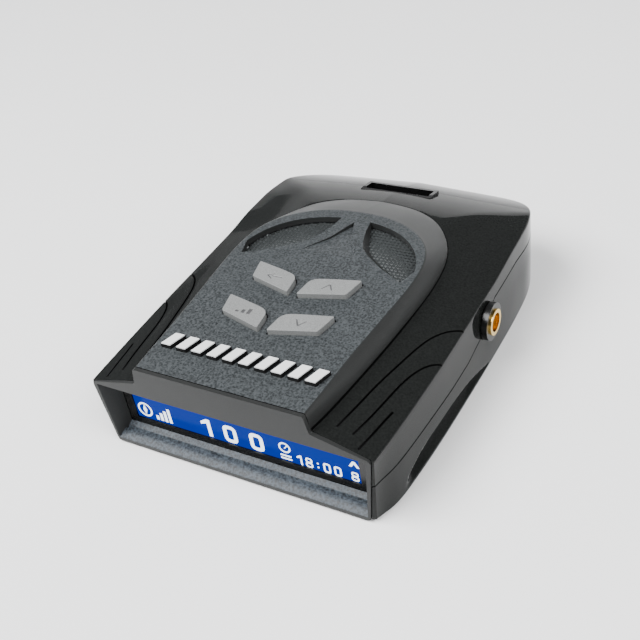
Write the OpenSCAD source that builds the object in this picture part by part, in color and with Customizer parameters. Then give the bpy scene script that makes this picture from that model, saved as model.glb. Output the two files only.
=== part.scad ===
// Dash-top radar detector with a front display, four keys and an aerial socket.
// Units mm. X is width, -Y is the display end, +Y the rear, +Z up.
// Origin: middle of the base plane, on the surface the rubber feet stand on.

/* [Case] */
// Wall thickness of both shells
wall = 1.8; // [1.5:0.1:2.0]
// Height the rubber feet stand out below the case
foot_h = 0.5; // [0.4:0.1:0.6]
// Diameter of each rubber foot
foot_d = 8; // [6:0.5:9]
// Gap along the seam between the two shells
seam = 0.14; // [0.1:0.02:0.3]

/* [Face panel] */
// Thickness of the top of the face panel
panel_t = 1.6; // [1.4:0.1:1.7]
// Gap round the face panel in its pocket
panel_gap = 0.2; // [0.15:0.05:0.35]
// Hole diameter in the loudspeaker grille
grille_d = 1.1; // [0.9:0.1:1.3]

/* [Keys] */
// Height of the key tops above the panel
key_h = 1.2; // [0.9:0.1:1.5]
// Working clearance round each key
key_gap = 0.3; // [0.25:0.05:0.4]
// Stroke of each key
key_travel = 0.5; // [0.3:0.05:0.5]

/* [Display] */
// Depth of the display glass behind the front edge
lcd_depth = 5.0; // [4.8:0.1:5.4]
// Width of the visible glass
lcd_w = 59.6; // [56:0.2:60]

/* [Aerial socket] */
// Outside diameter of the socket barrel
sock_d = 6.35; // [6.2:0.05:6.5]
// Outside diameter of the plastic collar
collar_d = 9.2; // [8.8:0.1:9.6]

/* [Hidden] */
$fn = 48;
eps = 0.01;
case_len = 103.5;
case_w = 76.4;
front = -case_len / 2;
base_z = foot_h;
corner_r = 11;
corner_x = 25;
wide_y = front + 62;
shoulder_roll = 12.4;
shoulder_rise = 2.63;
ridge_z = foot_h + 25.6;
panel_z = foot_h + 25.0;
panel_tilt = 2.8;
base_w = 5.5;
rim_w = 4.0;
ledge_t = 1.5;
rim_y = 1.0;
bezel_back = 4.4;
rebate = 0.8;
key_in = 1.25;
key_out = 12.5;
key_rear_v = 33.1;
key_front_v = 19.8;
flange_w = 1.8;
flange_t = 0.8;
mat_w = 3.9;
mat_t = 0.6;
plunger_r = 0.95;
plunger_top = 4.3;
switch_top = 4.9;
board_w = 6.2;
board_t = 1.0;
pcb_z = 8.0;
pcb_t = 1.2;
jack_y = front + 54.7;
jack_z = foot_h + 13.5;
jack_x = 40.2;
mouth = 2.1;
power_x = -39.1;
power_y = front + 60;
power_z = pcb_z + pcb_t + 3.2;
slot_y = front + 89.4;
slot_z = foot_h + 23.4;
slot_w = 18.6;
slot_rim = 0.9;
slot_l = 3.8;
slot_h = 8;
screw_front = front + 15;
screw_rear = front + 86;
screw_x = 31.2;
screw_rear_x = 28.6;
gap = 0.15;

function sgn(v) = v < 0 ? -1 : 1;
function arch(a, b, vc, n) = [for (t = [0 : 5 : 180]) [a * sgn(cos(t)) * pow(abs(cos(t)), 2 / n), vc + b * pow(abs(sin(t)), 2 / n)]];

// ---- outlines seen from above ----
module side_arcs(r, g) {
  intersection() {
    translate([case_w / 2 + g - r, wide_y]) circle(r = r, $fn = 240);
    translate([r - case_w / 2 - g, wide_y]) circle(r = r, $fn = 240);
  }
}

module plan(g, f) {
  intersection() {
    side_arcs(835, g);
    translate([-60, front - f]) square([120, wide_y - front + f]);
  }
  intersection() {
    side_arcs(211, g);
    translate([-60, wide_y - eps]) square([120, case_len / 2 - corner_r - wide_y + 2 * eps]);
  }
  intersection() {
    side_arcs(211, g);
    union() {
      translate([-corner_x, case_len / 2 - corner_r]) square([2 * corner_x, corner_r + g]);
      translate([corner_x, case_len / 2 - corner_r]) circle(r = corner_r + g);
      translate([-corner_x, case_len / 2 - corner_r]) circle(r = corner_r + g);
    }
  }
}

module base_outline(g, v0) {
  polygon(concat([[-22.2 - g, v0], [22.2 + g, v0], [24.5 + g, 18], [25.9 + g, 33]], arch(26.5 + g, 29.4 + g, 50, 2.3), [[-25.9 - g, 33], [-24.5 - g, 18]]));
}

module top_outline(g, v0) {
  polygon(concat([[-21.5 - g, v0], [21.5 + g, v0], [22.7 + g, 22]], arch(24.4 + g, 24.5 + g, 44, 2.2), [[-22.7 - g, 22]]));
}

module in_panel() {
  translate([0, front, panel_z]) rotate([panel_tilt, 0, 0]) children();
}

// ---- the outside of the case ----
module under_shoulder(side, g) {
  translate([0, front, ridge_z + g]) rotate([shoulder_rise, side * shoulder_roll, 0]) translate([-90, -20, -70]) cube([180, 160, 70]);
}

module side_profile(g) {
  translate([-60, front, 0]) rotate([90, 0, 90]) linear_extrude(120)
    polygon([[-4, -6], [-4, 26 + g], [80, 25.9 + g], [92, 23.7 + g], [99, 20.8 + g], [case_len + g, 17.6 + g], [case_len + g, -6]]);
}

module corner_cut(side, g) {
  mirror([side < 0 ? 1 : 0, 0, 0])
    translate([33.8 + g, front, base_z]) rotate([0, 6.43, -18]) translate([0, -50, -50]) cube([40, 100, 100]);
}

module body(g, zmin, f) {
  difference() {
    intersection() {
      translate([0, 0, zmin]) linear_extrude(40) plan(g, f);
      under_shoulder(1, g);
      under_shoulder(-1, g);
      side_profile(g);
    }
    corner_cut(1, g);
    corner_cut(-1, g);
  }
}

module below_seam(d) {
  translate([-60, front, 0]) rotate([90, 0, 90]) linear_extrude(120)
    polygon([[-6, -6], [-6, 11.1 + d], [8, 10.7 + d], [24, 10.5 + d], [36, 10.2 + d], [44, 10.4 + d], [50, 11.6 + d], [60.4, 16.9 + d], [74, 17.4 + d], [90, 16 + d], [110, 13.6 + d], [110, -6]]);
}

module behind_rim() {
  translate([-60, front + rim_y + gap, -10]) cube([120, 140, 60]);
}

module screw_spots() {
  for (s = [-1, 1]) {
    translate([s * screw_x, screw_front, 0]) children();
    translate([s * screw_rear_x, screw_rear, 0]) children();
  }
}

module jack_hole() {
  translate([20, jack_y, jack_z]) rotate([0, 90, 0]) cylinder(d = 7.4, h = 30);
}

module power_hole() {
  translate([-50, power_y, power_z]) rotate([0, 90, 0]) cylinder(d = 7.2, h = 24);
}

// ---- shells ----
module upper_shell() {
  color([0.04, 0.04, 0.045]) difference() {
    union() {
      difference() {
        intersection() {
          body(0, base_z, 0);
          behind_rim();
        }
        body(-wall, base_z + wall, 10);
        front_prism(bezel_back + 0.15, -rebate);
        in_panel() translate([0, 0, -base_w - 0.1]) linear_extrude(20) base_outline(panel_gap, -10);
        below_seam(seam / 2);
      }
      intersection() {
        difference() {
          in_panel() translate([0, 0, -base_w - ledge_t - 0.15]) linear_extrude(ledge_t) base_outline(1.5, 7.5);
          in_panel() translate([0, 0, -base_w - ledge_t - 0.65]) linear_extrude(ledge_t + 1) base_outline(-2.4, 5);
        }
        body(-0.6, base_z, 0);
      }
      difference() {
        intersection() {
          body(-0.6, base_z, 0);
          screw_spots() translate([0, 0, 12.6]) cylinder(r = 2.7, h = 20);
          behind_rim();
        }
        below_seam(seam / 2);
      }
    }
    screw_spots() translate([0, 0, 0]) cylinder(r = 1.3, h = 17.4);
    jack_hole();
    power_hole();
    translate([-slot_w / 2 - slot_rim - 0.1, slot_y - slot_l / 2 - slot_rim - 0.1, slot_z - 12]) cube([slot_w + 2 * slot_rim + 0.2, slot_l + 2 * slot_rim + 0.2, 20]);
    translate([-9.2, case_len / 2 - 6, 5]) cube([18.4, 10, 8]);
  }
}

module lower_shell() {
  color([0.05, 0.05, 0.055]) difference() {
    union() {
      intersection() {
        difference() {
          intersection() {
            body(0, base_z, 0);
            behind_rim();
          }
          body(-wall, base_z + wall, 10);
          front_prism(bezel_back + 0.15, -rebate);
        }
        below_seam(-seam / 2);
      }
      intersection() {
        difference() {
          body(-wall - 0.12, base_z, 0);
          body(-wall - 0.9, base_z - 5, 10);
        }
        difference() {
          below_seam(1);
          below_seam(-2.2);
        }
        translate([-60, front + 9, 0]) cube([120, 140, 40]);
      }
      screw_spots() translate([0, 0, base_z]) cylinder(r = 3, h = 9.2);
      for (s = [-1, 1]) {
        for (y = [front + 24, front + 66]) {
          translate([s * 24, y, base_z + wall - 0.3]) cylinder(r = 2.6, h = pcb_z - base_z - wall + 0.3);
        }
      }
    }
    screw_spots() translate([0, 0, -1]) cylinder(r = 2.6, h = 5);
    screw_spots() translate([0, 0, -1]) cylinder(r = 1.4, h = 20);
    for (s = [-1, 1]) {
      for (y = [front + 24, front + 66]) {
        translate([s * 24, y, 3.4]) cylinder(r = 1.05, h = 10);
      }
    }
    jack_hole();
    power_hole();
    feet_spots() translate([0, 0, -1]) cylinder(d = foot_d + 0.5, h = base_z + 1 + 0.5);
    translate([-20, front + 34, -1]) cube([40, 24, base_z + 1 + 0.35]);
    translate([-9.2, case_len / 2 - 6, 5]) cube([18.4, 10, 8]);
    for (x = [-20 : 4 : 20]) {
      translate([x - 0.75, front + 66, -1]) cube([1.5, 12, 6]);
    }
  }
}

// ---- front frame round the display ----
module hat(g) {
  polygon([[-33.8 - g, base_z - g], [33.8 + g, base_z - g], [35.9 + g, 17.7 + foot_h], [22.3 + g, 20.7 + foot_h + g], [21.5 + g, panel_z + g], [-21.5 - g, panel_z + g], [-22.3 - g, 20.7 + foot_h + g], [-35.9 - g, 17.7 + foot_h]]);
}

module front_prism(depth, g) {
  translate([0, front + depth, 0]) rotate([90, 0, 0]) linear_extrude(depth + 2) hat(g);
}

module front_bezel() {
  color([0.3, 0.3, 0.31]) difference() {
    union() {
      translate([0, front + rim_y, 0]) rotate([90, 0, 0]) linear_extrude(rim_y) hat(0);
      intersection() {
        translate([-40, front + rim_y - 0.2, 0]) cube([80, bezel_back - rim_y + 0.2, base_z + 18.7]);
        front_prism(bezel_back, -rebate - 0.15);
      }
    }
    intersection() {
      translate([-60, front, 0]) rotate([90, 0, 90]) linear_extrude(120)
        polygon([[-1, 1.4], [0.3, 1.6], [1.7, 2.4], [2, 2.2], [2.3, 2.5], [bezel_back + 0.1, 3.6], [bezel_back + 0.1, 17.2], [0, 17.6], [-1, 17.6]]);
      translate([0, front, -1]) linear_extrude(30)
        polygon([[-35.4, -1], [35.4, -1], [34.6, 0], [31.5, bezel_back + 0.1], [-31.5, bezel_back + 0.1], [-34.6, 0]]);
      front_prism(bezel_back + 1, -rebate - 0.5);
    }
  }
}

// ---- face panel ----
module recess(side) {
  intersection() {
    polygon(arch(23.6, 21.4, 44, 2.2));
    polygon([[side * 4, 70], [side * 4.2, 62.6], [side * 6, 56.6], [side * 8.2, 53.8], [side * 14, 49], [side * 21.5, 44.6], [side * 40, 44.6], [side * 40, 70]]);
  }
}

module key_shape(side, v, sx, sy) {
  translate([side * 7.4, v + 4.3]) scale([side * sx, sy]) translate([-7.4, -4.3])
    polygon([[key_in, 0], [key_out, 3], [key_out + 1.25, 8.7], [6.2, 7.1], [3.6, 6.3], [2.3, 5.2], [1.7, 3.6]]);
}

module face_panel() {
  color([0.33, 0.34, 0.35]) difference() {
    union() {
      difference() {
        in_panel() union() {
          hull() {
            translate([0, 0, -rim_w]) linear_extrude(0.02) base_outline(0, rim_y + 0.1);
            translate([0, 0, -0.02]) linear_extrude(0.02) top_outline(0, rim_y + 0.1);
          }
          translate([0, 0, -base_w]) linear_extrude(base_w - 1.8) base_outline(-0.25, rim_y + 0.4);
        }
        in_panel() translate([0, 0, -base_w - 1]) linear_extrude(base_w + 1 - panel_t) top_outline(-1.5, bezel_back + 0.6);
      }
      in_panel() for (s = [-1, 1]) {
        for (v = [17.5, 42.6]) {
          translate([s * 18, v, -board_w]) cylinder(r = 2, h = board_w - 1);
        }
      }
    }
    in_panel() for (s = [-1, 1]) {
      for (v = [17.5, 42.6]) {
        translate([s * 18, v, -board_w - 1]) cylinder(r = 0.9, h = board_w - 1);
      }
      for (v = [key_front_v, key_rear_v]) {
        translate([0, 0, -4]) linear_extrude(8) key_shape(s, v, 1 + 2.6 * key_gap / 11, 1 + 3 * key_gap / 9);
      }
      translate([0, 0, -panel_t - 0.02]) linear_extrude(8) recess(s);
    }
    in_panel() translate([0, 0, -0.7]) linear_extrude(4) polygon([[0, 62.6], [-3.4, 54.8], [-6.4, 51], [6.4, 51], [3.4, 54.8]]);
  }
}

module grille_plate() {
  color([0.2, 0.21, 0.22]) in_panel() difference() {
    translate([0, 0, -panel_t - 1]) linear_extrude(0.8) intersection() {
      top_outline(-1.65, 0);
      translate([-40, 44.9]) square([80, 40]);
    }
    for (i = [-10 : 10]) {
      for (j = [0 : 9]) {
        gx = i * 2.1 + (j % 2) * 1.05;
        gv = 46.2 + j * 1.9;
        if (abs(gx) > 3.4 && gv > 46.5 + 0.2 * (21 - abs(gx)) && pow(abs(gx) / 22, 2) + pow((gv - 44) / 20, 2) < 0.95)
          translate([gx, gv, -4]) cylinder(d = grille_d, h = 4, $fn = 16);
      }
    }
  }
}

// ---- badge: a plain row of slanted blocks ----
module badge_row(w0, h, ins) {
  in_panel() for (i = [0 : 9]) {
    translate([-19.6 + i * 4.1, 8.5, w0]) linear_extrude(h)
      polygon([[ins, ins], [2.6 - ins, ins], [3.9 - ins, 4.2 - ins], [1.3 + ins, 4.2 - ins]]);
  }
}

module badge_blocks() {
  color([0.03, 0.03, 0.03]) badge_row(0, 0.9, 0);
}

module badge_faces() {
  color([0.93, 0.93, 0.93]) badge_row(0.9, 0.25, 0.12);
}

// ---- keys ----
module key(side, v) {
  color([0.66, 0.67, 0.67]) in_panel() {
    translate([0, 0, -flange_w - 0.1]) linear_extrude(flange_w + 0.1 + key_h) key_shape(side, v, 1, 1);
    translate([0, 0, -flange_w - flange_t]) linear_extrude(flange_t) key_shape(side, v, 1.13, 1.14);
    translate([side * 7, v + 4.4, -plunger_top]) cylinder(r = 1.3, h = plunger_top - flange_w - 0.2);
  }
}

module plunger(side, v) {
  color([0.1, 0.1, 0.1]) in_panel() translate([side * 7, v + 4.4, -switch_top - 0.2]) cylinder(r = plunger_r, h = switch_top + 0.2 - plunger_top);
}

module key_exit() { key(-1, key_rear_v); }
module key_set() { key(-1, key_front_v); }
module key_up() { key(1, key_rear_v); }
module key_down() { key(1, key_front_v); }
module plunger_exit() { plunger(-1, key_rear_v); }
module plunger_set() { plunger(-1, key_front_v); }
module plunger_up() { plunger(1, key_rear_v); }
module plunger_down() { plunger(1, key_front_v); }

module key_mat() {
  color([0.15, 0.15, 0.16]) in_panel() difference() {
    translate([-15.5, 18.6, -mat_w]) cube([31, 25, mat_t]);
    for (s = [-1, 1]) {
      for (v = [key_front_v, key_rear_v]) {
        translate([s * 7, v + 4.4, -6]) cylinder(r = 1.9, h = 6);
      }
    }
  }
}

module tact_switches() {
  color([0.2, 0.2, 0.2]) in_panel() for (s = [-1, 1]) {
    for (v = [key_front_v, key_rear_v]) {
      difference() {
        translate([s * 7 - 2.25, v + 4.4 - 2.25, -board_w]) cube([4.5, 4.5, board_w - switch_top]);
        translate([s * 7, v + 4.4, -board_w + 0.2]) cylinder(r = plunger_r + 0.25, h = 4);
      }
    }
  }
}

module key_board() {
  color([0.05, 0.3, 0.16]) in_panel() difference() {
    translate([-20, 15.4, -board_w - board_t]) cube([40, 29.2, board_t]);
    for (s = [-1, 1]) {
      for (v = [17.5, 42.6]) {
        translate([s * 18, v, -board_w - 2]) cylinder(r = 1.1, h = 4);
      }
    }
  }
}

module key_board_screws() {
  color([0.7, 0.7, 0.7]) in_panel() for (s = [-1, 1]) {
    for (v = [17.5, 42.6]) {
      translate([s * 18, v, -board_w - board_t - 0.8]) cylinder(r = 1.6, h = 0.8);
      translate([s * 18, v, -board_w - board_t - 0.1]) cylinder(r = 0.8, h = 4);
    }
  }
}

// ---- loudspeaker under the grille ----
speaker_v = 55.2;
speaker_w = 3.1;
module speaker_frame() {
  color([0.12, 0.12, 0.13]) in_panel() translate([0, speaker_v, -speaker_w - 3.4]) difference() {
    union() {
      translate([0, 0, 2.4]) cylinder(r = 11.2, h = 1);
      cylinder(r = 10, h = 2.6);
    }
    translate([0, 0, 1]) cylinder(r = 9.2, h = 6);
    translate([0, 0, -1]) cylinder(r = 5.2, h = 6);
  }
}

module speaker_cone() {
  color([0.07, 0.07, 0.07]) in_panel() translate([0, speaker_v, -speaker_w - 3.4]) difference() {
    union() {
      translate([0, 0, 2.1]) cylinder(r = 9, h = 0.5);
      translate([0, 0, -0.6]) cylinder(r = 4, h = 3);
    }
    translate([0, 0, -1]) cylinder(r = 3.5, h = 3);
  }
}

module speaker_magnet() {
  color([0.35, 0.35, 0.37]) in_panel() translate([0, speaker_v, -speaker_w - 3.4]) {
    difference() {
      translate([0, 0, -3.2]) cylinder(r = 7, h = 3.2);
      translate([0, 0, -1]) cylinder(r = 4.3, h = 2);
    }
    translate([0, 0, -1.1]) cylinder(r = 3.2, h = 2.2);
  }
}

module speaker_leads() {
  color([0.6, 0.05, 0.05]) for (x = [-1.2, 1.2]) {
    translate([x, front + 46.6, pcb_z + pcb_t]) cylinder(r = 0.5, h = 12);
  }
}

// ---- display ----
module lcd_frame() {
  color([0.02, 0.02, 0.02]) difference() {
    translate([-32.2, front + bezel_back + 0.1, 3]) cube([64.4, 4.2, 14.3]);
    translate([-lcd_w / 2, front + 2, 5.3]) cube([lcd_w, 12, 8.8]);
    translate([-lcd_w / 2 - 1, front + lcd_depth - 0.1, 4.4]) cube([lcd_w + 2, 12, 10.6]);
  }
}

module lcd_glass() {
  color([0.05, 0.15, 0.75]) translate([-lcd_w / 2 - 0.8, front + lcd_depth, 4.6]) cube([lcd_w + 1.6, 1.1, 10.2]);
}

module backlight() {
  color([0.9, 0.92, 0.95]) translate([-lcd_w / 2 - 0.8, front + lcd_depth + 1.2, 4.6]) cube([lcd_w + 1.6, 2, 10.2]);
}

module lcd_flex() {
  color([0.75, 0.45, 0.12]) {
    translate([-9, front + lcd_depth + 3.2, 5.4]) cube([18, 3.2, 0.2]);
    translate([-9, front + lcd_depth + 6.2, 5.4]) cube([18, 0.2, pcb_z + pcb_t - 5.4 + 0.2]);
    translate([-9, front + lcd_depth + 6.2, pcb_z + pcb_t]) cube([18, 5.4, 0.2]);
    translate([-9.6, front + 14, pcb_z + pcb_t + 0.2]) cube([19.2, 3, 1.2]);
  }
}

// ---- aerial socket on the right side ----
module along_jack(x) {
  translate([x, jack_y, jack_z]) rotate([0, 90, 0]) children();
}

module aerial_collar() {
  color([0.03, 0.03, 0.03]) difference() {
    union() {
      along_jack(38.3) cylinder(d = collar_d, h = jack_x - 0.5 - 38.3);
      along_jack(34.4) cylinder(d = 7, h = 4);
      along_jack(33.4) cylinder(d = 8.8, h = 1.3);
    }
    along_jack(30) cylinder(d = sock_d + 0.1, h = 15);
  }
}

module aerial_barrel() {
  color([0.9, 0.68, 0.25]) difference() {
    union() {
      along_jack(31) cylinder(d = sock_d, h = jack_x - 31);
      translate([27.4, jack_y - 3.2, jack_z - 3.2]) cube([4, 6.4, 6.4]);
      translate([27.4, jack_y - 3.2, pcb_z + pcb_t + 0.02]) cube([3, 1, 4]);
      translate([27.4, jack_y + 2.2, pcb_z + pcb_t + 0.02]) cube([3, 1, 4]);
    }
    along_jack(26) cylinder(d = 3.8, h = 20);
    along_jack(jack_x - mouth) cylinder(d = 4.6, h = 4);
  }
}

module aerial_insulator() {
  color([0.55, 0.4, 0.22]) difference() {
    along_jack(27.6) cylinder(d = 3.7, h = jack_x - mouth - 0.2 - 27.6);
    along_jack(24) cylinder(d = 1.4, h = 30);
  }
}

module aerial_contact() {
  color([0.92, 0.72, 0.3]) difference() {
    along_jack(26) cylinder(d = 1.3, h = jack_x - mouth - 0.3 - 26);
    along_jack(35.4) cylinder(d = 0.9, h = 4, $fn = 24);
  }
}

module coax_lead() {
  color([0.1, 0.1, 0.1]) {
    along_jack(12) cylinder(d = 1.2, h = 13.9, $fn = 24);
    translate([12, jack_y, jack_z - 2]) rotate([90, 0, 0]) rotate([0, 0, 90]) rotate_extrude(angle = 90, $fn = 24) translate([2, 0]) circle(r = 0.6, $fn = 24);
    translate([10, jack_y, pcb_z + pcb_t]) cylinder(r = 0.6, h = jack_z - 2 - pcb_z - pcb_t, $fn = 24);
  }
}

// ---- boards and parts on them ----
module main_board() {
  color([0.04, 0.28, 0.15]) difference() {
    translate([-27, front + 11.6, pcb_z]) cube([54, 58, pcb_t]);
    for (s = [-1, 1]) {
      for (y = [front + 24, front + 66]) {
        translate([s * 24, y, pcb_z - 2]) cylinder(r = 1.3, h = 6);
      }
    }
    for (s = [-1, 1]) {
      translate([s * screw_x, screw_front, 0]) cylinder(r = 5, h = 20);
    }
  }
}

module board_screws() {
  color([0.7, 0.7, 0.7]) for (s = [-1, 1]) {
    for (y = [front + 24, front + 66]) {
      translate([s * 24, y, pcb_z + pcb_t]) cylinder(r = 1.9, h = 1);
      translate([s * 24, y, 3.8]) cylinder(r = 0.95, h = pcb_z + pcb_t - 3.7);
    }
  }
}

module processor() {
  color([0.06, 0.06, 0.06]) translate([-6, front + 24, pcb_z + pcb_t]) cube([12, 12, 1.4]);
}

module receiver_module() {
  color([0.7, 0.7, 0.72]) translate([3, front + 46, pcb_z + pcb_t]) difference() {
    cube([13, 14, 2.2]);
    translate([5.6, jack_y - front - 46 - 1.4, -1]) cube([2.8, 2.8, 5]);
  }
}

module patch_aerial() {
  color([0.75, 0.7, 0.6]) {
    translate([-18, front + 44, pcb_z + pcb_t]) cube([16, 16, 3]);
    translate([-16, front + 46, pcb_z + pcb_t + 2.9]) cube([12, 12, 0.3]);
  }
}

module capacitors() {
  color([0.1, 0.1, 0.2]) {
    translate([14, front + 28, pcb_z + pcb_t]) cylinder(d = 6, h = 6);
    translate([14, front + 36, pcb_z + pcb_t]) cylinder(d = 5, h = 6);
    translate([-14, front + 30, pcb_z + pcb_t]) cylinder(d = 5, h = 6);
  }
}

module power_jack() {
  color([0.05, 0.05, 0.05]) difference() {
    union() {
      translate([-26.8, power_y - 3.6, pcb_z + pcb_t]) cube([8.6, 7.2, 6.6]);
      translate([power_x, power_y, power_z]) rotate([0, 90, 0]) cylinder(d = 6.4, h = -26 - power_x);
    }
    translate([power_x - 1, power_y, power_z]) rotate([0, 90, 0]) cylinder(d = 4.2, h = 1 + mouth);
    translate([power_x + 1, power_y, power_z]) rotate([0, 90, 0]) cylinder(d = 3.6, h = 11.4);
  }
}

module power_pin() {
  color([0.8, 0.8, 0.8]) translate([power_x + mouth + 0.2, power_y, power_z]) rotate([0, 90, 0]) cylinder(d = 1.3, h = 10.1);
}

// ---- microwave front end at the rear ----
module horn_aerial() {
  color([0.78, 0.79, 0.8]) difference() {
    translate([-14, front + 79, 2.5]) cube([28, 17, 12]);
    translate([0, front + 96.1, 0]) rotate([90, 0, 0]) linear_extrude(14) polygon([[-12.6, 3.8], [12.6, 3.8], [12.6, 13.2], [-12.6, 13.2]]);
    translate([-6, front + 78, 5.4]) cube([12, 6, 6]);
  }
}

module rf_board() {
  color([0.03, 0.22, 0.13]) translate([-15, front + 72.6, 2.6]) cube([30, 1.2, 12.6]);
}

module rf_can() {
  color([0.72, 0.73, 0.75]) difference() {
    translate([-11, front + 73.9, 3.4]) cube([22, 4.9, 11]);
    translate([-10.4, front + 73, 4]) cube([20.8, 5.2, 9.8]);
  }
}

module bracket_socket() {
  color([0.06, 0.06, 0.06]) difference() {
    translate([-slot_w / 2 - slot_rim, slot_y - slot_l / 2 - slot_rim, slot_z - slot_h]) cube([slot_w + 2 * slot_rim, slot_l + 2 * slot_rim, slot_h + 0.5]);
    translate([-slot_w / 2, slot_y - slot_l / 2, slot_z - slot_h + 1.2]) cube([slot_w, slot_l, slot_h + 5]);
    translate([0, slot_y - 0.3, slot_z + 0.35]) rotate([-10.6, 0, 0]) translate([-20, -20, 0]) cube([40, 40, 10]);
  }
}

module laser_sensor() {
  color([0.1, 0.1, 0.12]) {
    translate([-6.4, case_len / 2 - 4.6, 6]) cube([4.8, 1.6, 5.6]);
    translate([1.6, case_len / 2 - 4.6, 6]) cube([4.8, 1.6, 5.6]);
  }
}

module rear_lens() {
  color([0.12, 0.02, 0.03]) {
    translate([-8.9, case_len / 2 - 1.6, 5.3]) cube([17.8, 1.6, 7.4]);
    translate([-10.4, case_len / 2 - 2.7, 4.1]) cube([20.8, 0.8, 8.1]);
    translate([-8.9, case_len / 2 - 2, 5.3]) cube([17.8, 0.6, 7.4]);
  }
}

// ---- underside ----
module feet_spots() {
  for (s = [-1, 1]) {
    translate([s * 25.5, front + 9, 0]) children();
    translate([s * 25.5, front + 96 - 3, 0]) children();
  }
}

module rubber_feet() {
  color([0.08, 0.08, 0.08]) feet_spots() cylinder(d = foot_d, h = base_z + 0.45);
}

module case_screws() {
  color([0.6, 0.6, 0.62]) screw_spots() difference() {
    union() {
      translate([0, 0, 2.3]) cylinder(r = 2.3, h = 1.7);
      translate([0, 0, 3.9]) cylinder(r = 1.15, h = 13.2);
    }
    translate([-1.5, -0.3, 2]) cube([3, 0.6, 1.1]);
    translate([-0.3, -1.5, 2]) cube([0.6, 3, 1.1]);
  }
}

module rating_plate() {
  color([0.75, 0.76, 0.77]) translate([-19.7, front + 34.3, base_z + 0.15]) cube([39.4, 23.4, 0.18]);
}

upper_shell();
lower_shell();
front_bezel();
face_panel();
grille_plate();
badge_blocks();
badge_faces();
key_exit();
key_set();
key_up();
key_down();
plunger_exit();
plunger_set();
plunger_up();
plunger_down();
key_mat();
tact_switches();
key_board();
key_board_screws();
speaker_frame();
speaker_cone();
speaker_magnet();
speaker_leads();
lcd_frame();
lcd_glass();
backlight();
lcd_flex();
aerial_collar();
aerial_barrel();
aerial_insulator();
aerial_contact();
coax_lead();
main_board();
board_screws();
processor();
receiver_module();
patch_aerial();
capacitors();
power_jack();
power_pin();
horn_aerial();
rf_board();
rf_can();
bracket_socket();
laser_sensor();
rear_lens();
rubber_feet();
case_screws();
rating_plate();
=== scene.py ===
"""Looks of the radar detector: smooth shells, panel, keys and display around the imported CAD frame.

Lengths here are in millimetres in the case's own coordinates: x across, y back from the display
edge, z up from the underside. put() turns them into metres in the frame of the CAD model.
"""

import math

import bmesh
import bpy
from mathutils import Matrix, Vector


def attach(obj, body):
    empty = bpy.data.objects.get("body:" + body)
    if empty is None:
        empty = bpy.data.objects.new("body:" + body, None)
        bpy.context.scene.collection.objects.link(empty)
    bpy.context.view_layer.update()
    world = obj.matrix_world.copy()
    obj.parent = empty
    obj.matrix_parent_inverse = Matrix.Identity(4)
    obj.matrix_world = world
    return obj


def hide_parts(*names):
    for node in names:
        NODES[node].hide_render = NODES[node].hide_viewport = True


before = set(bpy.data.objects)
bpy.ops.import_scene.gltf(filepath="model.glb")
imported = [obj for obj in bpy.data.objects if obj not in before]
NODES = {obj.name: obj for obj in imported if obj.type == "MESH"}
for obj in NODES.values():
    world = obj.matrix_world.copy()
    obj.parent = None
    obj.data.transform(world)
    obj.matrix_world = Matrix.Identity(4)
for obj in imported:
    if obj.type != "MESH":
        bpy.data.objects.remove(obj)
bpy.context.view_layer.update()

# ---------------------------------------------------------------- driving dimensions
MM = 0.001
LENGTH = 103.5
FRONT = -LENGTH / 2
FOOT = 0.5            # height of the rubber feet under the case
SEAM = 0.4            # gap between the two shells
SKIN = 0.9            # thickness of the drawn shells
FILLET = 0.6          # rounding along the upper shell's crease
FOOT_EDGE = 0.55      # rounding round the lower shell's underside

RIM = 1.0             # depth of the frame's front flange
BEZEL_BACK = 4.4      # depth of the frame behind the display edge
FRAME_HALF = 33.55    # half width of the frame at its foot
FRAME_WIDE = 35.6     # half width of the frame at its upper corners
FRAME_HIGH = 17.7     # height at which the frame stops growing wider
LAP = 0.3             # where the shells' corner strip starts behind the display edge
LCD_FACE = 4.96       # depth of the lit figures behind the display edge

PANEL_Z = 25.0        # height of the panel's front edge
PANEL_TILT = math.radians(2.8)
PANEL_SKIN = 1.5      # thickness of the drawn panel
PANEL_LIP = 0.45      # rounding between the panel's bevel and its top
PANEL_GAP = 0.4       # gap between the panel and the upper shell
PANEL_RISE = 0.1      # height of the bevel's lower edge over the shell
ARCH_V = 44.0         # where the panel's straight sides turn into its arch
ARCH_POWER = 2.2      # power of the superellipse that the arch follows
GRILLE_W = -1.95      # level of the grille under the panel's top

KEY_H = 1.2           # height of the key tops over the panel
KEY_GAP = 0.3         # clearance round each key
KEY_REAR_V, KEY_FRONT_V = 33.1, 19.8              # front corners of the two rows of keys
KEY_CENTRE = (7.4, 4.3)                           # middle of a key, which it grows from
CAP_LOW, FLANGE_LOW, STEM_LOW = -1.7, -2.5, -4.3  # undersides, from the panel's top
STEM_X, STEM_V, STEM_R = 7, 4.4, 1.3
MARK_DEPTH = 0.14     # depth of the sign sunk into a key

# Middle and hole radius of the aerial socket on the right and the power inlet on the left
JACK_Y, JACK_Z, JACK_HOLE_R = 54.7, 13.5, 3.75
POWER_Y, POWER_Z, POWER_HOLE_R = 60, 11.9, 3.6
# The bracket slot: middle, length along y, width and rim
SLOT_Y, SLOT_L, SLOT_W, SLOT_RIM = 89.4, 3.8, 18.6, 0.9
# Feet and screws on the underside, mirrored to both sides
FOOT_X, FOOT_YS, FOOT_HOLE_R = 25.5, (9, 93), 4.25
SCREW_SPOTS, SCREW_HOLE_R = ((31.2, 15), (28.6, 86)), 2.6


def put(x, y, z):
    """Case coordinates in mm to the frame in metres."""
    return Vector((x * MM, (FRONT + y) * MM, (FOOT + z) * MM))


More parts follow.
